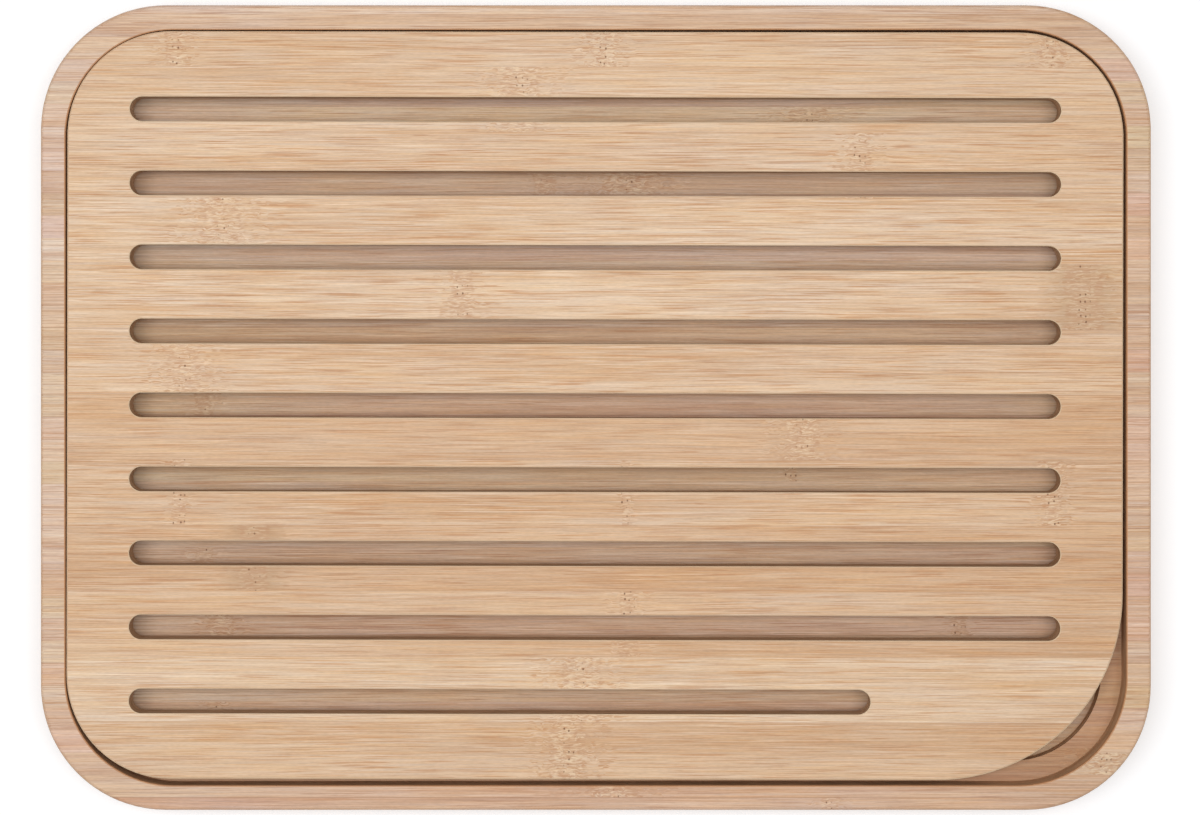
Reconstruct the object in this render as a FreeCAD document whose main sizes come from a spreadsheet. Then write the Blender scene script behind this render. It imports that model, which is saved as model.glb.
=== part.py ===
import FreeCAD, Part
import math
import os

import Sketcher
from FreeCAD import Rotation, Vector

# Bread board: a bamboo tray with a stepped pocket, and a slotted bamboo grille that lies in it.
# Millimetres. The grain runs along X, the front is at -Y and +Z is up.
# The origin is the centre of the underside.

SIZES = {
    # Outline of the tray
    "tray_length": 360.0,
    "tray_width": 261.0,
    "tray_corner_radius": 40.5,
    "rim_edge_radius": 1.2,
    "base_edge_chamfer": 1.0,
    # Pocket that the grille lies in
    "rim_width": 8.0,
    "pocket_corner_radius": 35.0,
    "pocket_lip_chamfer": 0.3,
    # Ledge that carries the grille, and the crumb pocket inside it
    "ledge_width": 6.6,
    "crumb_corner_radius": 29.0,
    "crumb_depth": 4.5,
    "floor_thickness": 7.0,
    # Grille
    "grille_thickness": 8.0,
    "grille_set_down": 0.5,
    "grille_end_clearance": 0.75,
    "grille_side_clearance": 1.25,
    "grille_edge_chamfer": 0.5,
    "finger_corner_radius": 60.0,
    # Slots of the grille, from the back edge on, as many as leave the least margin at the front
    "first_slot_margin": 25.25,
    "least_slot_margin": 22.0,
    "slot_length": 302.0,
    "last_slot_length": 240.5,
    "slot_width": 8.0,
    "slot_pitch": 24.0,
    "slot_edge_chamfer": 0.3,
    # How the loose grille lies, as shares of its clearance
    "play_taken_left": 0.4,
    "play_taken_back": 0.5,
    "play_taken_by_turn": 0.25,
    # Bamboo slats that the two panels are glued from
    "tray_strip_width": 7.25,
    "first_tray_strip_width": 3.0,
    "grille_stave_width": 21.25,
    "first_grille_stave_width": 11.4,
    "least_offcut_width": 1.5,
}

# Levels and lengths that follow from the sizes
LEDGE_LEVEL = "(sizes.floor_thickness + sizes.crumb_depth)"
TRAY_HEIGHT = f"({LEDGE_LEVEL} + sizes.grille_thickness + sizes.grille_set_down)"
POCKET_LENGTH = "(sizes.tray_length - 2 * sizes.rim_width)"
POCKET_WIDTH = "(sizes.tray_width - 2 * sizes.rim_width)"
CRUMB_LENGTH = f"({POCKET_LENGTH} - 2 * sizes.ledge_width)"
CRUMB_WIDTH = f"({POCKET_WIDTH} - 2 * sizes.ledge_width)"
GRILLE_LENGTH = f"({POCKET_LENGTH} - 2 * sizes.grille_end_clearance)"
GRILLE_WIDTH = f"({POCKET_WIDTH} - 2 * sizes.grille_side_clearance)"
GRILLE_CORNER_RADIUS = "(sizes.pocket_corner_radius - sizes.grille_side_clearance)"
FIRST_SLOT_Y = f"({GRILLE_WIDTH} / 2 - sizes.first_slot_margin)"

# How far an edge may lie from a level and still belong to it
EDGE_TOLERANCE = 0.01

doc = FreeCAD.newDocument("bread_board")


def make_sheet():
    """The driving dimensions, one aliased cell each."""
    sheet = doc.addObject("Spreadsheet::Sheet", "sizes")
    for row, (alias, value) in enumerate(SIZES.items(), start=1):
        sheet.set(f"A{row}", alias)
        sheet.set(f"B{row}", str(value))
        sheet.setAlias(f"B{row}", alias)
    doc.recompute()
    return sheet


def number(expression):
    """The value that an expression has now."""
    return float(sheet.evalExpression(expression))


def origin_feature(body, role):
    """The plane or axis of the body's own origin that has this role."""
    return next(item for item in body.Origin.OriginFeatures if item.Role == role)


def new_body(name):
    return doc.addObject("PartDesign::Body", name)


def flat_sketch(body, name, level, x="0", y="0"):
    """A sketch parallel to the body's XY plane, with its origin at x, y and level."""
    sketch = body.newObject("Sketcher::SketchObject", name)
    sketch.AttachmentSupport = [(origin_feature(body, "XY_Plane"), "")]
    sketch.MapMode = "FlatFace"
    sketch.setExpression(".AttachmentOffset.Base.x", x)
    sketch.setExpression(".AttachmentOffset.Base.y", y)
    sketch.setExpression(".AttachmentOffset.Base.z", level)
    return sketch


def constrain(sketch, name, expression, *rule):
    """Adds a constraint whose value follows an expression."""
    index = sketch.addConstraint(Sketcher.Constraint(*rule, number(expression)))
    sketch.renameConstraint(index, name)
    sketch.setExpression(f"Constraints.{name}", expression)


def join_round(sketch, *chain):
    """Joins a closed chain of lines and arcs end to start, tangent at every joint."""
    for this, after in zip(chain, chain[1:] + chain[:1]):
        sketch.addConstraint(Sketcher.Constraint("Tangent", this, 2, after, 1))


def quarter_or_half(centre, radius, start_deg, sweep_deg):
    """An arc that runs anticlockwise."""
    circle = Part.Circle(centre, Vector(0, 0, 1), radius)
    return Part.ArcOfCircle(circle, math.radians(start_deg), math.radians(start_deg + sweep_deg))


def rounded_rectangle(body, name, level, length, width, radii):
    """An outline centred on the origin. radii go round from front left to back left."""
    sketch = flat_sketch(body, name, level)
    half_length, half_width = number(length) / 2, number(width) / 2
    corners = ((-1, -1), (1, -1), (1, 1), (-1, 1))
    arcs, ends = [], []
    for turn, ((side_x, side_y), radius) in enumerate(zip(corners, radii)):
        bend = number(radius)
        centre = Vector(side_x * (half_length - bend), side_y * (half_width - bend), 0)
        arc = quarter_or_half(centre, bend, 180 + 90 * turn, 90)
        arcs.append(sketch.addGeometry(arc))
        ends.append((arc.StartPoint, arc.EndPoint))
    sides = [
        sketch.addGeometry(Part.LineSegment(ends[k][1], ends[(k + 1) % 4][0])) for k in range(4)
    ]
    join_round(sketch, *(piece for pair in zip(arcs, sides) for piece in pair))
    front, right, back, left = sides
    for line in (front, back):
        sketch.addConstraint(Sketcher.Constraint("Horizontal", line))
    for line in (right, left):
        sketch.addConstraint(Sketcher.Constraint("Vertical", line))
    constrain(sketch, "front_side", f"{width} / 2", "DistanceY", front, 1, -1, 1)
    constrain(sketch, "right_side", f"{length} / 2", "DistanceX", -1, 1, right, 1)
    constrain(sketch, "back_side", f"{width} / 2", "DistanceY", -1, 1, back, 1)
    constrain(sketch, "left_side", f"{length} / 2", "DistanceX", left, 1, -1, 1)
    names = ("front_left_radius", "front_right_radius", "back_right_radius", "back_left_radius")
    for arc, corner, radius in zip(arcs, names, radii):
        constrain(sketch, corner, radius, "Radius", arc)
    return sketch


def slot_outline(body, name, level, y, length):
    """A slot with full round ends. Every slot starts at the same distance from the left."""
    start_x = "((sizes.slot_width - sizes.slot_length) / 2)"
    run = f"({length} - sizes.slot_width)"
    sketch = flat_sketch(body, name, level, start_x, y)
    bend, far = number("sizes.slot_width / 2"), number(run)
    left = sketch.addGeometry(quarter_or_half(Vector(0, 0, 0), bend, 90, 180))
    front = sketch.addGeometry(Part.LineSegment(Vector(0, -bend, 0), Vector(far, -bend, 0)))
    right = sketch.addGeometry(quarter_or_half(Vector(far, 0, 0), bend, -90, 180))
    back = sketch.addGeometry(Part.LineSegment(Vector(far, bend, 0), Vector(0, bend, 0)))
    join_round(sketch, left, front, right, back)
    sketch.addConstraint(Sketcher.Constraint("Horizontal", front))
    sketch.addConstraint(Sketcher.Constraint("Equal", left, right))
    sketch.addConstraint(Sketcher.Constraint("Coincident", left, 3, -1, 1))
    constrain(sketch, "end_radius", "sizes.slot_width / 2", "Radius", left)
    constrain(sketch, "run", run, "DistanceX", -1, 1, right, 3)
    return sketch


def pad(body, name, sketch, height):
    feature = body.newObject("PartDesign::Pad", name)
    feature.Profile = sketch
    feature.setExpression("Length", height)
    sketch.Visibility = False
    doc.recompute()
    return feature


def pocket(body, name, sketch, depth=None):
    """A cut down from the sketch, to a depth or right through."""
    feature = body.newObject("PartDesign::Pocket", name)
    feature.Profile = sketch
    if depth is None:
        feature.Type = "ThroughAll"
    else:
        feature.setExpression("Length", depth)
    sketch.Visibility = False
    doc.recompute()
    return feature


def edges_at(feature, level, reach_x=math.inf, reach_y=math.inf):
    """Names of the edges that lie at a level, and within reach of the Z axis."""
    found = []
    for index, edge in enumerate(feature.Shape.Edges, start=1):
        box = edge.BoundBox
        flat = max(abs(box.ZMin - level), abs(box.ZMax - level)) < EDGE_TOLERANCE
        inside_x = max(-box.XMin, box.XMax) < reach_x + EDGE_TOLERANCE
        inside_y = max(-box.YMin, box.YMax) < reach_y + EDGE_TOLERANCE
        if flat and inside_x and inside_y:
            found.append(f"Edge{index}")
    return found


def ease(body, kind, name, base, edges, size):
    """Rounds (Fillet) or bevels (Chamfer) the named edges of the last feature."""
    feature = body.newObject(f"PartDesign::{kind}", name)
    feature.Base = (base, edges)
    feature.setExpression("Radius" if kind == "Fillet" else "Size", size)
    doc.recompute()
    return feature


def make_tray_panel():
    """The tray in one: outline, rounded edges, grille pocket and crumb pocket."""
    body = new_body("tray_panel")
    outline = rounded_rectangle(
        body, "tray_outline", "0", "sizes.tray_length", "sizes.tray_width",
        ["sizes.tray_corner_radius"] * 4,
    )
    block = pad(body, "tray_block", outline, TRAY_HEIGHT)
    rim_edges = edges_at(block, number(TRAY_HEIGHT))
    rounded_rim = ease(body, "Fillet", "rim_rounding", block, rim_edges, "sizes.rim_edge_radius")
    base_edges = edges_at(rounded_rim, 0)
    ease(body, "Chamfer", "base_bevel", rounded_rim, base_edges, "sizes.base_edge_chamfer")

    pocket_outline = rounded_rectangle(
        body, "pocket_outline", TRAY_HEIGHT, POCKET_LENGTH, POCKET_WIDTH,
        ["sizes.pocket_corner_radius"] * 4,
    )
    seat_depth = "sizes.grille_thickness + sizes.grille_set_down"
    seat = pocket(body, "grille_pocket", pocket_outline, seat_depth)
    lip = edges_at(
        seat, number(TRAY_HEIGHT), number(POCKET_LENGTH) / 2, number(POCKET_WIDTH) / 2
    )
    ease(body, "Chamfer", "pocket_lip", seat, lip, "sizes.pocket_lip_chamfer")

    crumb_outline = rounded_rectangle(
        body, "crumb_outline", LEDGE_LEVEL, CRUMB_LENGTH, CRUMB_WIDTH,
        ["sizes.crumb_corner_radius"] * 4,
    )
    body.Tip = pocket(body, "crumb_pocket", crumb_outline, "sizes.crumb_depth")
    doc.recompute()
    return body


def slots_that_fit():
    """How many slots the grille's width holds."""
    room = f"{GRILLE_WIDTH} - sizes.first_slot_margin - sizes.least_slot_margin"
    return 1 + math.floor(number(f"({room}) / sizes.slot_pitch"))


def make_grille_panel():
    """The grille in one: outline with the wide finger corner, bevelled edges and slots."""
    body = new_body("grille_panel")
    outline = rounded_rectangle(
        body, "grille_outline", "0", GRILLE_LENGTH, GRILLE_WIDTH,
        [
            GRILLE_CORNER_RADIUS,
            "sizes.finger_corner_radius",
            GRILLE_CORNER_RADIUS,
            GRILLE_CORNER_RADIUS,
        ],
    )
    block = pad(body, "grille_block", outline, "sizes.grille_thickness")
    thickness = number("sizes.grille_thickness")
    outer_edges = edges_at(block, 0) + edges_at(block, thickness)
    ease(body, "Chamfer", "grille_bevel", block, outer_edges, "sizes.grille_edge_chamfer")

    first = slot_outline(
        body, "slot_outline", "sizes.grille_thickness", FIRST_SLOT_Y, "sizes.slot_length"
    )
    first_slot = pocket(body, "first_slot", first)
    long_slots = slots_that_fit() - 1
    slots = body.newObject("PartDesign::LinearPattern", "slots")
    slots.Originals = [first_slot]
    slots.Direction = (first, ["V_Axis"])
    slots.Reversed = True
    slots.setExpression("Length", f"{long_slots - 1} * sizes.slot_pitch")
    slots.Occurrences = long_slots
    body.Tip = slots
    doc.recompute()

    last_slot_y = f"{FIRST_SLOT_Y} - {long_slots} * sizes.slot_pitch"
    last = slot_outline(
        body, "last_slot_outline", "sizes.grille_thickness", last_slot_y, "sizes.last_slot_length"
    )
    last_slot = pocket(body, "last_slot", last)
    reach_x = number("sizes.slot_length") / 2
    reach_y = max(number(FIRST_SLOT_Y), -number(last_slot_y)) + number("sizes.slot_width") / 2
    slot_edges = [
        edge for level in (0, thickness) for edge in edges_at(last_slot, level, reach_x, reach_y)
    ]
    body.Tip = ease(
        body, "Chamfer", "slot_bevels", last_slot, slot_edges, "sizes.slot_edge_chamfer"
    )
    doc.recompute()
    return body


def seam_count(width, first, pitch):
    """Glue lines across a panel. A remainder under the least offcut stays on its neighbour."""
    room = f"({width} - {first} - sizes.least_offcut_width) / {pitch}"
    return 1 + math.floor(number(room))


def slat(panel, name, index, seams, length, width, height, first, pitch):
    """The part of a glued panel that one slat makes up, counted from the back."""
    zone = doc.addObject("Part::Box", f"{name}_zone")
    back_of_slat = f"{first} + {index - 1} * {pitch}"
    reach = f"{first} + {pitch}" if index == 0 else pitch
    if index == seams:
        reach = f"{width} - ({back_of_slat}) + {pitch}"
    front_of_slat = f"{back_of_slat} + {reach}" if index else first
    zone.setExpression("Length", f"{length} + 2 * {pitch}")
    zone.setExpression("Width", reach)
    zone.setExpression("Height", f"{height} + 2 * {pitch}")
    zone.setExpression("Placement.Base.x", f"-{length} / 2 - {pitch}")
    zone.setExpression("Placement.Base.y", f"{width} / 2 - ({front_of_slat})")
    zone.setExpression("Placement.Base.z", f"-{pitch}")
    piece = doc.addObject("Part::Common", name)
    piece.Label = name
    piece.Base = panel
    piece.Tool = zone
    return piece


def make_slats(panel, stem, length, width, height, first, pitch):
    """All slats of a panel, from the back edge to the front edge."""
    seams = seam_count(width, first, pitch)
    return [
        slat(panel, f"{stem}_{index + 1:02d}", index, seams, length, width, height, first, pitch)
        for index in range(seams + 1)
    ]


def lay_grille(staves):
    """Lays the loose grille on the ledge, pushed to the back left and turned a little."""
    for stave in staves:
        stave.Placement.Rotation = Rotation(Vector(0, 0, 1), 0)
        stave.setExpression(
            "Placement.Base.x", "-sizes.play_taken_left * sizes.grille_end_clearance"
        )
        stave.setExpression(
            "Placement.Base.y", "sizes.play_taken_back * sizes.grille_side_clearance"
        )
        stave.setExpression("Placement.Base.z", LEDGE_LEVEL)
        play = "2 * sizes.play_taken_by_turn * sizes.grille_side_clearance"
        turn = f"-atan({play} / {GRILLE_LENGTH})"
        stave.setExpression("Placement.Rotation.Angle", turn)


def check(pieces):
    """Stops if any object failed, or a piece is empty, invalid or not one solid."""
    for item in doc.Objects:
        if "Invalid" in item.State or "Error" in item.State:
            raise RuntimeError(f"{item.Name} failed: {item.State}")
    for piece in pieces:
        if piece.Shape.isNull() or not piece.Shape.isValid():
            raise RuntimeError(f"{piece.Label} has no valid shape")
        if len(piece.Shape.Solids) != 1:
            raise RuntimeError(f"{piece.Label} has {len(piece.Shape.Solids)} solids")


sheet = make_sheet()
tray_strips = make_slats(
    make_tray_panel(), "tray_strip", "sizes.tray_length", "sizes.tray_width", TRAY_HEIGHT,
    "sizes.first_tray_strip_width", "sizes.tray_strip_width",
)
grille_staves = make_slats(
    make_grille_panel(), "grille_stave", GRILLE_LENGTH, GRILLE_WIDTH, "sizes.grille_thickness",
    "sizes.first_grille_stave_width", "sizes.grille_stave_width",
)
lay_grille(grille_staves)
doc.recompute()
check(tray_strips + grille_staves)

os.makedirs("parts", exist_ok=True)
for piece in tray_strips + grille_staves:
    piece.Shape.exportStep(f"parts/{piece.Label}.step")
print(len(tray_strips), "tray strips,", len(grille_staves), "grille staves")
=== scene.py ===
import math
import random

import bpy
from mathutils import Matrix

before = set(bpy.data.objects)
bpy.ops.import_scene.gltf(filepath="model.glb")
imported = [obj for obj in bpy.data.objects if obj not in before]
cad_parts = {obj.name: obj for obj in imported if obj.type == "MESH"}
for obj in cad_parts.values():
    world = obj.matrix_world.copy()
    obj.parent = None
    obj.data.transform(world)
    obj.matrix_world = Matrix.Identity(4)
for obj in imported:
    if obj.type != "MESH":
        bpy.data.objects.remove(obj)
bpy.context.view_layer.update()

# Shapes that the looks follow, in millimetres. TRAY, POCKET and CRUMB are rounded rectangles
# seen from above: length, width and corner radius
MM_PER_METRE = 1000.0
TRAY = (360.0, 261.0, 40.5)
POCKET = (344.0, 245.0, 35.0)
CRUMB = (330.8, 231.8, 29.0)
LEDGE_LEVEL = 11.5
FLOOR_LEVEL = 7.0
GRILLE_LENGTH = 342.5
GRILLE_WIDTH = 242.5
# The grille lies askew: its middle, and its turn in radians
GRILLE_SHIFT = (-0.3, 0.625)
GRILLE_TURN = -0.001825
# Strips and staves are counted from the back edge; the first and the last are cut narrower
STRIP_WIDTH = 7.25
STAVE_WIDTH = 21.25
FIRST_STRIP = 3.0
FIRST_STAVE = 11.4
# Far past the outer sides of the first and the last piece, so they show no glue line there
BEYOND = 50.0


def srgb(red, green, blue, alpha=1.0):
    """A colour given as it shows on a screen, 0 to 255, as Blender's linear values."""
    shares = [channel / 255 for channel in (red, green, blue)]
    linear = [c / 12.92 if c <= 0.04045 else ((c + 0.055) / 1.055) ** 2.4 for c in shares]
    return (*linear, alpha)


# Colours of the fibres: pale and deep ground, and the streaks in it
GRILLE_COLORS = (srgb(225, 195, 163), srgb(210, 171, 132), srgb(190, 132, 84))
TRAY_COLORS = (srgb(220, 189, 161), srgb(202, 163, 132), srgb(176, 122, 84))
PALE_FIBRE = srgb(240, 217, 192)
# Colours of the knuckles
KNUCKLE_TONE = srgb(190, 140, 102)
KNUCKLE_PALE = srgb(240, 214, 178)
SMUDGE_TONE = srgb(176, 142, 106)
PIT_TONE = srgb(112, 72, 46)
# Colours of what the saw, the glue and the router left, and of the painted light and shade on the
# lip, the wall tops, the pocket floors, the outer edge and the bevels
END_GROUND = srgb(212, 172, 132)
END_BUNDLE = srgb(140, 96, 62)
TRAY_GLUE = srgb(156, 104, 70)
GRILLE_GLUE = srgb(166, 112, 74)
SCORCHED = srgb(168, 130, 96)
TOAST_AND_SHADE_TONE = srgb(198, 160, 124)
LIP_AND_LIGHT_TONE = srgb(200, 142, 96)
EDGE_SHADE_TONE = srgb(158, 112, 78)
SIDE_DARK = srgb(176, 136, 100)
SIDE_PALE = srgb(200, 162, 126)
SLOT_END_TONE = srgb(160, 122, 88)
SIDE_TOP_TONE = srgb(146, 98, 60)
BEVEL_HIGHLIGHT_TONE = srgb(244, 220, 186)
# Tints that multiply the colour on the crumb floor and on the ledge
FLOOR_TINT = srgb(246, 246, 242)
LEDGE_TINT = srgb(232, 216, 200)
TABLE_WHITE = srgb(245, 246, 248)
WHITE = srgb(255, 255, 255)

# Knuckles of the canes by stave and by strip: middle along X, half width, strength and smudge
KNUCKLE_VALUES = ("X", "Half", "Strength", "Smudge")
KNUCKLE_PLACES = (1, 2, 3)
NO_KNUCKLE = (0.0, 1.0, 0.0, 0.0)
STAVE_KNUCKLES = {
    1: ((-135.7, 3.5, 0.9, 0.1), (2.9, 4.5, 1.0, 0.1), (147.9, 4.0, 0.9, 0.2)),
    2: ((-23.8, 7.0, 0.8, 0.0),),
    3: ((85.6, 4.0, 0.8, 0.1),),
    4: ((-120.8, 7.5, 0.9, 0.1),),
    5: ((-43.3, 4.2, 0.6, 0.1), (158.6, 7.0, 0.5, 1.0)),
    6: ((-133.3, 6.5, 0.8, 0.0),),
    7: ((67.0, 5.8, 0.9, 0.25),),
    8: ((148.4, 3.0, 0.9, 0.1), (-134.9, 2.5, 0.6, 0.0), (10.1, 1.5, 0.5, 0.0)),
    9: ((-110.6, 5.5, 0.4, 1.0),),
    10: ((11.0, 3.4, 0.7, 0.0),),
    11: ((-4.4, 7.0, 0.9, 0.0),),
    12: ((-8.8, 6.0, 1.0, 0.1),),
}
STRIP_KNUCKLES = {
    6: ((70.6, 8.0, 0.8, 0.1),),
    9: ((11.3, 9.0, 1.0, 0.1), (-16.7, 4.0, 0.7, 0.1)),
    19: ((-128.7, 3.3, 0.8, 0.1),),
    22: ((64.0, 2.0, 0.8, 0.1),),
    26: ((-128.7, 3.0, 0.8, 0.1),),
    29: ((-123.4, 4.3, 1.0, 0.1), (119.6, 3.0, 0.7, 0.1)),
    33: ((-125.4, 3.0, 0.8, 0.1),),
    35: ((165.0, 6.0, 1.1, 0.1),),
    36: ((5.4, 9.0, 1.0, 0.1),),
    37: ((75.9, 3.2, 0.8, 0.1),),
}

# How much lighter or darker than the rest single strips and staves are
STRIP_TONES = {
    1: 0.05, 2: -0.07, 5: 0.09, 6: 0.09, 12: 0.14, 13: 0.06, 22: 0.03, 23: 0.07, 27: -0.08,
    36: -0.09, 37: -0.07,
}
STAVE_TONES = {
    1: -0.05, 2: -0.01, 3: -0.04, 4: 0.01, 6: -0.05, 7: -0.17, 8: -0.09, 9: -0.17, 10: -0.12,
    11: 0.06, 12: -0.09,
}
# Painted light and shade: all pieces are paler to the left and deeper in tone to the right, as the
# light falls across the board
LEFT_RIGHT_LIGHT_LEAN = (0.04, 0.0, -0.04)
# A darker piece loses less red than green and blue
DEEPENING = (0.52, 1.0, 1.5)
# How the strength of streaks differs from piece to piece, and how strongly a glue line can show
STREAK_SPREAD = (0.8, 1.2)
SEAM_STRENGTHS = (0.08, 0.15, 0.28, 0.6)

# Noises of the fibres: size of a grain in millimetres along X, Y and Z, detail and roughness
RAGGED = ((9.0, 2.2, 2.2), 2.0, 0.5)
SWAY = ((110.0, 24.0, 24.0), 1.0, 0.5)
CURL = ((4.2, 3.0, 3.0), 1.0, 0.5)
BANDS = ((190.0, 1.9, 1.9), 3.0, 0.6)
BROAD = ((160.0, 11.0, 11.0), 1.0, 0.5)
FINE = ((24.0, 0.46, 0.46), 2.0, 0.6)
HAIR = ((2.0, 0.22, 0.22), 1.0, 0.5)
MOTTLE = ((3.2, 0.44, 0.44), 2.0, 0.6)
HUE = ((34.0, 0.6, 0.6), 2.0, 0.6)
PATCH = ((46.0, 7.0, 7.0), 2.0, 0.5)
STRETCH = ((60.0, 2.6, 2.6), 2.0, 0.5)
SHORT = ((22.0, 0.32, 0.32), 1.0, 0.5)
PALE = ((26.0, 0.40, 0.40), 1.0, 0.5)
# Noises of the router's work: burnt patches, and lines round the walls
TRAY_BURN = ((9.0, 9.0, 2.0), 3.0, 0.6)
GRILLE_BURN = ((7.0, 7.0, 1.6), 3.0, 0.6)
ROUTER_LINES = ((60.0, 60.0, 0.5), 2.0, 0.5)
# Cells: size in millimetres along X, Y and Z, and how far from a grid their points scatter
STRANDS = ((34.0, 0.58, 0.58), 1.0)
BUNDLES = ((40.0, 0.62, 0.62), 1.0)
PITS = ((1.8, 2.3, 1.0), 0.4)

# Ramps: the value at which a mark begins, and the value at which it is full
WARM_RAMP = (0.34, 0.68)
STRAND_RAMP = (0.30, 0.12)
STRETCH_RAMP = (0.44, 0.60)
SHORT_RAMP = (0.56, 0.64)
PALE_RAMP = (0.56, 0.66)
SMUDGE_RAMP = (0.25, 0.60)
BEND_RAMP = (0.50, 0.66)
RIM_RAMP = (0.36, 0.58)
DASH_RAMP = (0.52, 0.64)
GLINT_RAMP = (0.48, 0.38)
PIT_RAMP = (0.20, 0.11)
PIT_STRETCH_RAMP = (-0.10, 0.02)
BUNDLE_RAMP = (0.42, 0.16)
CHAR_RAMP = (0.50, 0.85)
SIDE_RAMP = (0.40, 0.66)
SLOT_END_RAMP = (0.62, 0.40)

# Ramps along X in millimetres for the tints of the left and the right end
LEFT_RAMP = (-170.0, -60.0)
RIGHT_RAMP = (60.0, 170.0)
TINT_RAGGEDNESS = 90.0
# Ramps about a knuckle, counted in its half widths, and raggedness of its sides
KNUCKLE_EDGE = (1.0, 0.65)
BEND_EDGE = (3.2, 0.8)
COLUMN_EDGE = (1.2, 1.0)
STAIN_EDGE = (2.6, 0.7)
KNUCKLE_RAGGEDNESS = 1.2
# Pits lie this close to a knuckle's middle, in millimetres, where its strength is enough
PIT_STRIP = (2.3, 1.8)
PIT_STRENGTH = (0.1, 0.5)
# Place in the pattern of pits, in millimetres: along X at a knuckle's middle, and along Z
PIT_START = 1.8
PIT_LAYER = 0.2

# Ramps of a surface's direction: how far it faces up, and for the last two how far along X
UPRIGHT = (0.62, 0.42)
FLAT = (0.75, 0.95)
TRAY_BEVEL = ((0.50, 0.62), (0.95, 0.85))
GRILLE_BEVEL = ((0.50, 0.65), (0.98, 0.90))
SAWN_END = (0.55, 0.85)
SLOT_BEND = (0.12, 0.55)
# Ramps of height in millimetres, where walls, lip and edges change colour near the top
LIP_HEIGHTS = (19.0, 19.5)
LIT_WALL_TOP_HEIGHTS = (17.6, 19.2)
EDGE_SHADE_HEIGHTS = (17.5, 19.5)
SIDE_TOP_HEIGHTS = (17.2, 19.0)
# Ramps of height in millimetres above and below the floor and the ledge
FLOOR_SPAN = (1.2, 0.4)
LEDGE_SPAN = (1.5, 0.5)
# Ramps of distance in millimetres from an outline or a glue line, seen from above
INSIDE_RIM = (1.2, 0.8)
BESIDE_CRUMB_WALL = (2.0, 0.0)
BESIDE_WALL = (1.2, 0.0)
EDGE_SHADE_SPAN = (-1.0, -0.1)
INSIDE_GRILLE = (1.0, 3.0)
GLUE_EDGE = (0.22, 0.055)

# Bump of the fibres: strength, and height in metres
BUMP_STRENGTH = 0.35
BUMP_HEIGHT = 0.00012
# Gloss of the bamboo, and how much less rough raised fibres are
SPECULAR = 0.35
FIBRE_POLISH = 0.06

# Table: half its side in metres, and the glow that only the camera sees, more of it farther out
TABLE_HALF = 4.0
TABLE_GLOW = 0.19
FAR_GLOW = 0.6
FAR_GLOW_RAMP = (0.5, 2.5)
# Strength of the surroundings as a light; the camera sees them at full strength
SKY = 0.42
# Lamp and camera: places and sizes in metres, power in watts, sensor and lens in millimetres
LAMP_SIZE = (1.5, 0.55)
LAMP_POWER = 13.0
LAMP_PLACE = (-0.1, 0.07, 1.4)
CAMERA_PLACE = (-0.0019, 0.0349, 0.845)
CAMERA_SENSOR = 36.0
CAMERA_LENS = 76.4
CAMERA_SHIFT = (0.0083, -0.0896)


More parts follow.
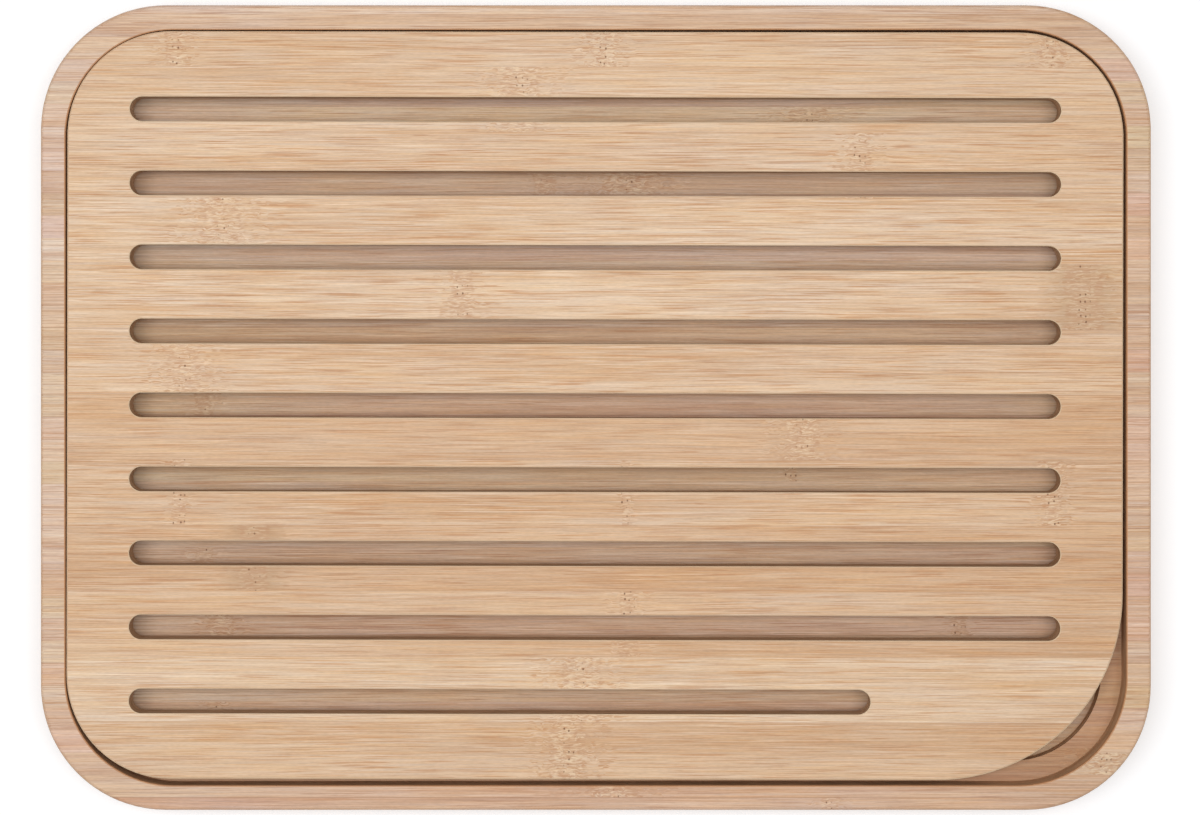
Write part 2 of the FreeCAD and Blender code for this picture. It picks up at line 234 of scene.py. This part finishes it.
class Shader:
    """Adds nodes to a node tree and links them, with plain numbers or sockets as inputs."""

    # Sockets of the mix node that hold its share and its two colours, and the mixed colour
    MIX_INPUTS = (0, 6, 7)
    MIX_OUTPUT = 2

    def __init__(self, tree):
        self.tree = tree

    def put(self, socket, value):
        if isinstance(value, bpy.types.NodeSocket):
            self.tree.links.new(value, socket)
        else:
            socket.default_value = value

    def node(self, kind, settings=None, **inputs):
        """A new node with these settings; in an input's name _ stands for a space."""
        node = self.tree.nodes.new(kind)
        for name, value in (settings or {}).items():
            setattr(node, name, value)
        for name, value in inputs.items():
            self.put(node.inputs[name.replace("_", " ")], value)
        return node

    def math(self, operation, *values):
        node = self.node("ShaderNodeMath", {"operation": operation})
        for socket, value in zip(node.inputs, values):
            self.put(socket, value)
        return node.outputs[0]

    def product(self, *values):
        result = values[0]
        for value in values[1:]:
            result = self.math("MULTIPLY", result, value)
        return result

    def total(self, *values):
        result = values[0]
        for value in values[1:]:
            result = self.math("ADD", result, value)
        return result

    def absolute(self, value):
        return self.math("ABSOLUTE", value)

    def split(self, vector):
        return tuple(self.node("ShaderNodeSeparateXYZ", Vector=vector).outputs)

    def join(self, x, y, z):
        return self.node("ShaderNodeCombineXYZ", X=x, Y=y, Z=z).outputs[0]

    def step(self, value, start, end):
        """0 below start, 1 above end, smooth between; falls instead where start is above end."""
        node = self.node("ShaderNodeMapRange", {"interpolation_type": "SMOOTHSTEP"})
        low, high = (0.0, 1.0) if start < end else (1.0, 0.0)
        limits = (value, min(start, end), max(start, end), low, high)
        for socket, limit in zip(node.inputs, limits):
            self.put(socket, limit)
        return node.outputs[0]

    def stretched(self, place, lengths):
        """The place counted in grains of these lengths along X, Y and Z."""
        return self.join(*(self.math("DIVIDE", part, size) for part, size in zip(place, lengths)))

    def noise(self, place, lengths, detail, roughness):
        node = self.node(
            "ShaderNodeTexNoise", Vector=self.stretched(place, lengths),
            Scale=1.0, Detail=detail, Roughness=roughness,
        )
        return node.outputs["Fac"]

    def swing(self, place, lengths, detail, roughness):
        """A noise about zero, from -0.5 to 0.5."""
        return self.math("SUBTRACT", self.noise(place, lengths, detail, roughness), 0.5)

    def cells(self, place, lengths, scatter):
        """Distance to the nearest of scattered points, in grains of these lengths."""
        node = self.node(
            "ShaderNodeTexVoronoi", Vector=self.stretched(place, lengths),
            Scale=1.0, Randomness=scatter,
        )
        return node.outputs["Distance"]

    def mix(self, share, first, second, blend="MIX"):
        node = self.node("ShaderNodeMix", {"data_type": "RGBA", "blend_type": blend})
        for index, value in zip(self.MIX_INPUTS, (share, first, second)):
            self.put(node.inputs[index], value)
        return node.outputs[self.MIX_OUTPUT]

    def paint(self, color, tone, *shares):
        """The colour with a tone over it, as strong as the product of the shares."""
        return self.mix(self.product(*shares), color, tone)

    def tinted(self, color, tint, share=1.0):
        """The colour multiplied by a tint."""
        return self.mix(share, color, tint, "MULTIPLY")

    def outside(self, x, y, outline):
        """How far a place is outside a rounded rectangle, negative inside it."""
        length, width, radius = outline
        over = [
            self.math("SUBTRACT", self.absolute(part), side / 2 - radius)
            for part, side in ((x, length), (y, width))
        ]
        past = [self.math("MAXIMUM", part, 0.0) for part in over]
        square = self.total(*(self.product(part, part) for part in past))
        inner = self.math("MINIMUM", self.math("MAXIMUM", *over), 0.0)
        reach = self.total(self.math("SQRT", square), inner)
        return self.math("SUBTRACT", reach, radius)


def emptied(owner):
    """A shader for the node tree of a material or world, with the default nodes gone."""
    owner.use_nodes = True
    owner.node_tree.nodes.clear()
    return Shader(owner.node_tree)


def new_group(name, inputs, outputs):
    """An empty node group with these sockets, as (group, shader, its inputs, its output node)."""
    group = bpy.data.node_groups.new(name, "ShaderNodeTree")
    for label, kind in inputs:
        group.interface.new_socket(label, in_out="INPUT", socket_type=kind)
    for label, kind in outputs:
        group.interface.new_socket(label, in_out="OUTPUT", socket_type=kind)
    shader = Shader(group)
    return group, shader, shader.node("NodeGroupInput").outputs, shader.node("NodeGroupOutput")


FLOAT, COLOR, VECTOR = "NodeSocketFloat", "NodeSocketColor", "NodeSocketVector"
CUT_INPUTS = [
    ("Place", VECTOR), ("Normal", VECTOR), ("Color", COLOR),
    ("Low", FLOAT), ("High", FLOAT), ("Seam", FLOAT),
]
CUT_OUTPUTS = [("Color", COLOR), ("Roughness", FLOAT)]


def knuckle_zones(s, given, x, ragged):
    """Where the knuckles are, as five values that are 0 away from them.

    They are the ragged zones, the wider stretch where fibres bend round them, the distance along
    X from a knuckle's middle, the stain, and the narrow strip where pits can be.
    """
    zones, bend, column, smudge, core = 0.0, 0.0, 0.0, 0.0, 0.0
    for n in KNUCKLE_PLACES:
        half, strength = given[f"Knuckle {n} Half"], given[f"Knuckle {n} Strength"]
        off = s.math("SUBTRACT", x, given[f"Knuckle {n} X"])
        far = s.math("DIVIDE", s.absolute(off), half)
        edge = s.total(far, s.product(ragged, KNUCKLE_RAGGEDNESS))
        zone = s.product(s.step(edge, *KNUCKLE_EDGE), strength)
        wide = s.product(s.step(edge, *BEND_EDGE), strength)
        zones = s.math("MAXIMUM", zones, zone)
        bend = s.math("MAXIMUM", bend, wide)
        column = s.total(column, s.product(off, s.step(far, *COLUMN_EDGE)))
        stain = s.product(s.step(edge, *STAIN_EDGE), given[f"Knuckle {n} Smudge"])
        smudge = s.math("MAXIMUM", smudge, stain)
        near = s.product(s.step(s.absolute(off), *PIT_STRIP), s.step(strength, *PIT_STRENGTH))
        core = s.math("MAXIMUM", core, near)
    return zones, bend, column, smudge, core


def make_fibre_group():
    """Bamboo fibres along X, with knuckles of the cane at up to three places."""
    knuckle_sockets = [
        (f"Knuckle {n} {value}", FLOAT) for n in KNUCKLE_PLACES for value in KNUCKLE_VALUES
    ]
    group, s, given, result = new_group(
        "bamboo_fibres",
        [
            ("Place", VECTOR), ("Seed", FLOAT),
            ("Pale", COLOR), ("Deep", COLOR), ("Streak", COLOR),
            ("Left", COLOR), ("Middle", COLOR), ("Right", COLOR),
            ("Streaks", FLOAT), *knuckle_sockets,
        ],
        [("Color", COLOR), ("Height", FLOAT)],
    )
    # Each piece has its own part of the pattern, far from that of every other
    seed_along, seed_across = 173.3, 41.7
    x, y, z = s.split(given["Place"])
    away = s.product(given["Seed"], seed_across)
    px = s.total(x, s.product(given["Seed"], seed_along))
    py = s.total(y, away)
    pz = s.total(z, away)
    own = (px, py, pz)

    ragged = s.swing(own, *RAGGED)
    knuckle, bend, column, smudge, core = knuckle_zones(s, given, x, ragged)

    # The fibres wander a little, and curl about a knuckle
    sway_reach, curl_reach = 1.3, 2.2
    sway = s.swing(own, *SWAY)
    curl = s.swing(own, *CURL)
    shift = s.total(s.product(sway, sway_reach), s.product(curl, bend, curl_reach))
    fibre = (px, s.total(py, shift), s.total(pz, shift))

    bands = s.noise(fibre, *BANDS)
    broad = s.noise(fibre, *BROAD)
    fine = s.noise(fibre, *FINE)
    hair = s.noise(fibre, *HAIR)
    mottle = s.noise(fibre, *MOTTLE)
    hue = s.swing(fibre, *HUE)
    patch = s.swing(own, *PATCH)

    # Pale and deep ground
    bands_share, broad_share = 0.6, 0.4
    ground = s.total(s.product(bands, bands_share), s.product(broad, broad_share))
    color = s.mix(s.step(ground, *WARM_RAMP), given["Pale"], given["Deep"])

    # Thin darker bundles, some long and some short, each only part of the way along
    short_share = 0.75
    strand = s.step(s.cells(fibre, *STRANDS), *STRAND_RAMP)
    some = s.step(s.noise(fibre, *STRETCH), *STRETCH_RAMP)
    short = s.step(s.noise(fibre, *SHORT), *SHORT_RAMP)
    dark = s.math("MAXIMUM", s.product(strand, some), s.product(short, short_share))
    color = s.paint(color, given["Streak"], dark, given["Streaks"])

    # Some fibres and some patches are redder, others greyer
    hue_red, patch_red, hue_blue, patch_blue = 0.2, 0.1, 0.42, 0.25
    redder = s.total(s.product(hue, hue_red), s.product(patch, patch_red), 1.0)
    bluer = s.math(
        "SUBTRACT", 1.0, s.total(s.product(hue, hue_blue), s.product(patch, patch_blue))
    )
    color = s.tinted(color, s.join(redder, 1.0, bluer))

    # Pale streaks, the fine grain, and the tints of left, middle and right, which carry each
    # piece's own tone and the painted light and shade from left to right
    pale_share, fine_share, hair_share, darkest = 0.5, 0.34, 0.32, 0.67
    pale = s.step(s.noise(fibre, *PALE), *PALE_RAMP)
    color = s.paint(color, PALE_FIBRE, pale, given["Streaks"], pale_share)
    shade = s.total(s.product(fine, fine_share), s.product(hair, hair_share), darkest)
    color = s.tinted(color, s.join(shade, shade, shade))
    along = s.total(x, s.product(patch, TINT_RAGGEDNESS))
    tint = s.mix(s.step(along, *LEFT_RAMP), given["Left"], given["Middle"])
    tint = s.mix(s.step(along, *RIGHT_RAMP), tint, given["Right"])
    color = s.tinted(color, tint)

    # Knuckles: a stain on some, short dark dashes, ragged sides, pale glints, pits in two rows
    smudge_share, bend_share, dash_share, rim_share, glint_share = 0.55, 0.30, 0.6, 0.45, 0.5
    rim_gain = 4.0
    pit_share = 0.78
    color = s.paint(color, SMUDGE_TONE, smudge, s.step(fine, *SMUDGE_RAMP), smudge_share)
    color = s.paint(color, KNUCKLE_TONE, bend, s.step(mottle, *BEND_RAMP), bend_share)
    inverse = s.math("SUBTRACT", 1.0, knuckle)
    rim = s.product(knuckle, inverse, s.step(mottle, *RIM_RAMP), rim_gain)
    dash = s.product(knuckle, s.step(mottle, *DASH_RAMP), dash_share)
    color = s.paint(color, KNUCKLE_TONE, s.math("MAXIMUM", dash, s.product(rim, rim_share)))
    color = s.paint(color, KNUCKLE_PALE, knuckle, s.step(mottle, *GLINT_RAMP), glint_share)
    pit_place = (s.total(column, PIT_START), s.total(py, pz), PIT_LAYER)
    pit = s.step(s.cells(pit_place, *PITS), *PIT_RAMP)
    pits = s.product(pit, s.step(ragged, *PIT_STRETCH_RAMP), core)
    color = s.paint(color, PIT_TONE, pits, pit_share)

    # Height for the bump: fine grain up, dark bundles and pits down, knuckles coarser
    fine_height, hair_height, dark_height, pit_height, knuckle_height = 0.6, 0.25, -0.35, -2.5, 0.8
    height = s.total(
        s.product(fine, fine_height), s.product(hair, hair_height),
        s.product(dark, dark_height), s.product(pits, pit_height),
        s.product(mottle, knuckle, knuckle_height),
    )
    s.put(result.inputs["Color"], color)
    s.put(result.inputs["Height"], height)
    return group


def end_grain(s, place, normal, color):
    """Sawn ends, where the fibre bundles show as dots: the colour, and where it faces along X."""
    bundle_share, end_share = 0.55, 0.8
    facing = s.step(s.absolute(s.split(normal)[0]), *SAWN_END)
    dots = s.step(s.cells(place, *BUNDLES), *BUNDLE_RAMP)
    tone = s.paint(END_GROUND, END_BUNDLE, dots, bundle_share)
    return s.paint(color, tone, facing, end_share), facing


def seam_line(s, y, low, high):
    """1 on the glue line at either side of a piece."""
    near = s.math("MINIMUM", s.math("SUBTRACT", y, low), s.math("SUBTRACT", high, y))
    return s.step(near, *GLUE_EDGE)


def make_tray_group():
    """What the router did to the tray: scorched walls, a dull floor, glue lines, painted shade
    beside the walls and on the outer edge, painted light on the lip.
    """
    group, s, given, result = new_group("tray_cut", CUT_INPUTS, CUT_OUTPUTS)
    x, y, z = place = s.split(given["Place"])
    up = s.split(given["Normal"])[2]
    level = s.absolute(up)
    upright = s.step(level, *UPRIGHT)
    flat = s.step(up, *FLAT)
    past_wall = s.outside(x, y, POCKET)
    inside_rim = s.step(past_wall, *INSIDE_RIM)
    color, facing = end_grain(s, place, given["Normal"], given["Color"])

    color = s.paint(color, TRAY_GLUE, seam_line(s, y, given["Low"], given["High"]), given["Seam"])

    # Floor of the crumb pocket, with painted shade: browner beside its wall
    crumb_wall_shade_share = 0.35
    far, near = FLOOR_SPAN
    on_floor = s.product(flat, s.step(z, FLOOR_LEVEL + far, FLOOR_LEVEL + near))
    color = s.tinted(color, FLOOR_TINT, on_floor)
    to_crumb_wall = s.product(s.outside(x, y, CRUMB), -1.0)
    color = s.paint(color, TOAST_AND_SHADE_TONE, on_floor, s.step(to_crumb_wall, *BESIDE_CRUMB_WALL), crumb_wall_shade_share)

    # Ledge, with painted shade: darker beside the wall
    ledge_wall_shade_share = 0.4
    far, near = LEDGE_SPAN
    on_ledge = s.product(
        flat,
        s.step(z, LEDGE_LEVEL - far, LEDGE_LEVEL - near),
        s.step(z, LEDGE_LEVEL + far, LEDGE_LEVEL + near),
    )
    color = s.tinted(color, LEDGE_TINT, on_ledge)
    to_wall = s.product(past_wall, -1.0)
    color = s.paint(color, TOAST_AND_SHADE_TONE, on_ledge, s.step(to_wall, *BESIDE_WALL), ledge_wall_shade_share)

    # Walls of both pockets, scorched by the router in patches
    line_share, wall_share = 0.3, 0.94
    burn = s.noise(place, *TRAY_BURN)
    lines = s.noise(place, *ROUTER_LINES)
    pale_char = s.step(s.total(burn, s.product(lines, line_share)), *CHAR_RAMP)
    wall = s.product(upright, inside_rim)
    color = s.paint(color, s.mix(pale_char, SCORCHED, TOAST_AND_SHADE_TONE), wall, wall_share)

    # The pocket's lip is a thin warm line; the same tone is painted light down the top of the
    # walls, to lift the shaded gap, and the outer edge gets painted shade
    lip_and_light_share, edge_shade_share = 0.7, 0.18
    rise, fall = TRAY_BEVEL
    bevel = s.product(s.step(level, *rise), s.step(level, *fall))
    lip = s.math(
        "MAXIMUM",
        s.product(bevel, s.step(z, *LIP_HEIGHTS)),
        s.product(upright, s.step(z, *LIT_WALL_TOP_HEIGHTS)),
    )
    color = s.paint(color, LIP_AND_LIGHT_TONE, lip, inside_rim, lip_and_light_share)
    # Painted shade: the rim's rounded outer edge a touch darker where it turns away from the light
    outer_edge_shade = s.step(s.outside(x, y, TRAY), *EDGE_SHADE_SPAN)
    color = s.paint(color, EDGE_SHADE_TONE, outer_edge_shade, s.step(z, *EDGE_SHADE_HEIGHTS), edge_shade_share)

    plain_rough, wall_rough, floor_rough, end_rough = 0.46, 0.25, 0.15, 0.12
    rough = s.total(
        s.product(wall, wall_rough), s.product(on_floor, floor_rough),
        s.product(facing, end_rough), plain_rough,
    )
    s.put(result.inputs["Color"], color)
    s.put(result.inputs["Roughness"], rough)
    return group


def make_grille_group():
    """What the router did to the grille: toasted slot ends and sides, glue lines, and a painted
    highlight on the bevels.
    """
    group, s, given, result = new_group("grille_cut", CUT_INPUTS, CUT_OUTPUTS)
    x, y, z = place = s.split(given["Place"])
    nx, _, up = s.split(given["Normal"])
    level = s.absolute(up)
    upright = s.step(level, *UPRIGHT)
    rise, fall = GRILLE_BEVEL
    bevel = s.product(s.step(level, *rise), s.step(level, *fall))
    seam = seam_line(s, y, given["Low"], given["High"])
    color = s.paint(given["Color"], GRILLE_GLUE, seam, given["Seam"])

    # Sides: burnt in patches, darkest where the slots turn round, with a warm line at the top
    slot_end_share, side_top_share, side_share, bevel_highlight_share = 0.4, 0.75, 0.9, 0.6
    near, deep = INSIDE_GRILLE
    burn = s.noise(place, *GRILLE_BURN)
    bend = s.step(s.absolute(nx), *SLOT_BEND)
    in_slots = s.product(
        s.step(s.absolute(x), GRILLE_LENGTH / 2 - near, GRILLE_LENGTH / 2 - deep),
        s.step(s.absolute(y), GRILLE_WIDTH / 2 - near, GRILLE_WIDTH / 2 - deep),
    )
    side = s.mix(s.step(burn, *SIDE_RAMP), SIDE_DARK, SIDE_PALE)
    side = s.paint(
        side, SLOT_END_TONE, bend, s.step(burn, *SLOT_END_RAMP), in_slots, slot_end_share
    )
    side = s.paint(side, SIDE_TOP_TONE, s.step(z, *SIDE_TOP_HEIGHTS), side_top_share)
    color = s.paint(color, side, upright, side_share)
    # Painted highlight: a pale line on the bevels round the edges and the slots
    color = s.paint(color, BEVEL_HIGHLIGHT_TONE, bevel, bevel_highlight_share)

    plain_rough, side_rough = 0.44, 0.2
    s.put(result.inputs["Color"], color)
    s.put(result.inputs["Roughness"], s.total(s.product(upright, side_rough), plain_rough))
    return group


def in_tray(s, place):
    """The tray lies square in the frame, so its own places are the frame's."""
    return place


def in_grille(s, place):
    """The place counted from the grille's own middle and edges, which lie a little askew."""
    x, y, z = s.split(place)
    along = s.math("SUBTRACT", x, GRILLE_SHIFT[0])
    across = s.math("SUBTRACT", y, GRILLE_SHIFT[1])
    turned = s.math("SUBTRACT", across, s.product(along, GRILLE_TURN))
    return s.join(along, turned, z)


def make_material(name, groups, part, fibre_inputs, cut_inputs):
    """The bamboo of one strip or stave, as a material of its own."""
    material = bpy.data.materials.new(name)
    s = emptied(material)
    coordinates = s.node("ShaderNodeTexCoord").outputs
    in_mm = s.node(
        "ShaderNodeVectorMath", {"operation": "SCALE"},
        Vector=coordinates["Object"], Scale=MM_PER_METRE,
    )
    place = part["place"](s, in_mm.outputs[0])
    fibres = s.node(
        "ShaderNodeGroup", {"node_tree": groups["fibres"]}, Place=place, **fibre_inputs
    ).outputs
    cut = s.node(
        "ShaderNodeGroup", {"node_tree": groups[part["cut"]]}, Place=place,
        Normal=coordinates["Normal"], Color=fibres["Color"], **cut_inputs,
    ).outputs
    smoother = s.product(fibres["Height"], FIBRE_POLISH)
    bump = s.node(
        "ShaderNodeBump", Strength=BUMP_STRENGTH, Distance=BUMP_HEIGHT, Height=fibres["Height"]
    )
    surface = s.node(
        "ShaderNodeBsdfPrincipled", Base_Color=cut["Color"],
        Roughness=s.math("SUBTRACT", cut["Roughness"], smoother),
        Specular_IOR_Level=SPECULAR, Normal=bump.outputs[0],
    )
    s.node("ShaderNodeOutputMaterial", Surface=surface.outputs[0])
    return material


def limits(number, count, first, width, across):
    """Front and back side of a strip or stave, counted from the back edge."""
    edge = across / 2
    back = edge + BEYOND if number == 1 else edge - (first + (number - 2) * width)
    front = -edge - BEYOND if number == count else edge - first - (number - 1) * width
    return front, back


def knuckle_inputs(knuckles):
    """Values of the fibre group's knuckle inputs, with unused places left without effect."""
    spare = [NO_KNUCKLE] * (len(KNUCKLE_PLACES) - len(knuckles))
    return {
        f"Knuckle_{n}_{label}": value
        for n, knuckle in zip(KNUCKLE_PLACES, (*knuckles, *spare))
        for label, value in zip(KNUCKLE_VALUES, knuckle)
    }


def dress(nodes, groups, part):
    """Gives each strip or stave its bamboo, with a tone of its own."""
    pale, deep, streak = part["colors"]
    spread = part["spread"]
    dice = random.Random(part["seed"])
    for number, name in enumerate(nodes, start=1):
        tone = part["tones"].get(number, 0.0)
        left, middle, right = (
            [(1.0 + dice.uniform(-spread, spread) + tone + lean) ** power for power in DEEPENING]
            for lean in LEFT_RIGHT_LIGHT_LEAN
        )
        fibre_inputs = {
            "Pale": pale, "Deep": deep, "Streak": streak,
            "Left": (*left, 1.0), "Middle": (*middle, 1.0), "Right": (*right, 1.0),
            "Streaks": part["streaks"] * dice.uniform(*STREAK_SPREAD),
            **knuckle_inputs(part["knuckles"].get(number, ())),
        }
        low, high = limits(number, len(nodes), *part["widths"])
        cut_inputs = {"Low": low, "High": high, "Seam": dice.choice(SEAM_STRENGTHS)}
        fibre_inputs["Seed"] = float(number) + dice.random()
        material = make_material(
            name.replace("_", "-"), groups, part, fibre_inputs, cut_inputs
        )
        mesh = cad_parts[name].data
        mesh.materials.clear()
        mesh.materials.append(material)


def make_stage():
    """A plain white table that keeps the board's shadow."""
    half = TABLE_HALF
    corners = [(-half, -half, 0.0), (half, -half, 0.0), (half, half, 0.0), (-half, half, 0.0)]
    mesh = bpy.data.meshes.new("table_top")
    mesh.from_pydata(corners, [], [(0, 1, 2, 3)])
    table = bpy.data.objects.new("table_top", mesh)
    bpy.context.scene.collection.objects.link(table)
    material = bpy.data.materials.new("white_table")
    s = emptied(material)
    seen = s.node("ShaderNodeLightPath").outputs["Is Camera Ray"]
    place = s.node("ShaderNodeTexCoord").outputs["Object"]
    away = s.node(
        "ShaderNodeVectorMath", {"operation": "LENGTH"}, Vector=place
    ).outputs["Value"]
    far = s.product(s.step(away, *FAR_GLOW_RAMP), FAR_GLOW)
    plain = s.node("ShaderNodeBsdfDiffuse", Color=TABLE_WHITE)
    glow = s.node(
        "ShaderNodeEmission", Color=WHITE, Strength=s.product(seen, s.total(TABLE_GLOW, far))
    )
    both = s.node("ShaderNodeAddShader")
    for socket, part in zip(both.inputs, (plain, glow)):
        s.put(socket, part.outputs[0])
    s.node("ShaderNodeOutputMaterial", Surface=both.outputs[0])
    mesh.materials.append(material)


def make_light():
    """White surroundings, dimmer as a light than to the camera, and one long soft lamp."""
    world = bpy.data.worlds.new("studio")
    s = emptied(world)
    seen = s.node("ShaderNodeLightPath").outputs["Is Camera Ray"]
    strength = s.total(s.product(seen, 1.0 - SKY), SKY)
    background = s.node("ShaderNodeBackground", Color=WHITE, Strength=strength)
    s.node("ShaderNodeOutputWorld", Surface=background.outputs[0])
    bpy.context.scene.world = world

    # The lamp hangs a little to the upper left of the board's middle and faces it
    lamp = bpy.data.lights.new("key", "AREA")
    lamp.shape = "RECTANGLE"
    lamp.size, lamp.size_y = LAMP_SIZE
    lamp.energy = LAMP_POWER
    key = bpy.data.objects.new("key", lamp)
    key.location = LAMP_PLACE
    x, y, z = key.location
    key.rotation_euler = (math.atan2(-y, z), math.atan2(x, z), 0.0)
    bpy.context.scene.collection.objects.link(key)


def make_camera():
    """Straight above the board, with the view shifted as the photograph is framed."""
    camera = bpy.data.cameras.new("camera")
    camera.sensor_width = CAMERA_SENSOR
    camera.lens = CAMERA_LENS
    camera.shift_x, camera.shift_y = CAMERA_SHIFT
    seat = bpy.data.objects.new("camera", camera)
    seat.location = CAMERA_PLACE
    bpy.context.scene.collection.objects.link(seat)
    bpy.context.scene.camera = seat


def main():
    names = sorted(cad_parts)
    strips = [name for name in names if name.startswith("tray_strip_")]
    staves = [name for name in names if name.startswith("grille_stave_")]
    groups = {
        "fibres": make_fibre_group(),
        "tray_cut": make_tray_group(),
        "grille_cut": make_grille_group(),
    }
    dress(strips, groups, {
        "cut": "tray_cut", "place": in_tray, "widths": (FIRST_STRIP, STRIP_WIDTH, TRAY[1]),
        "colors": TRAY_COLORS, "streaks": 0.65, "spread": 0.04,
        "tones": STRIP_TONES, "knuckles": STRIP_KNUCKLES, "seed": 11,
    })
    dress(staves, groups, {
        "cut": "grille_cut", "place": in_grille,
        "widths": (FIRST_STAVE, STAVE_WIDTH, GRILLE_WIDTH),
        "colors": GRILLE_COLORS, "streaks": 0.8, "spread": 0.0,
        "tones": STAVE_TONES, "knuckles": STAVE_KNUCKLES, "seed": 5,
    })
    make_stage()
    make_light()
    make_camera()
    bpy.context.scene.view_settings.view_transform = "Standard"


main()
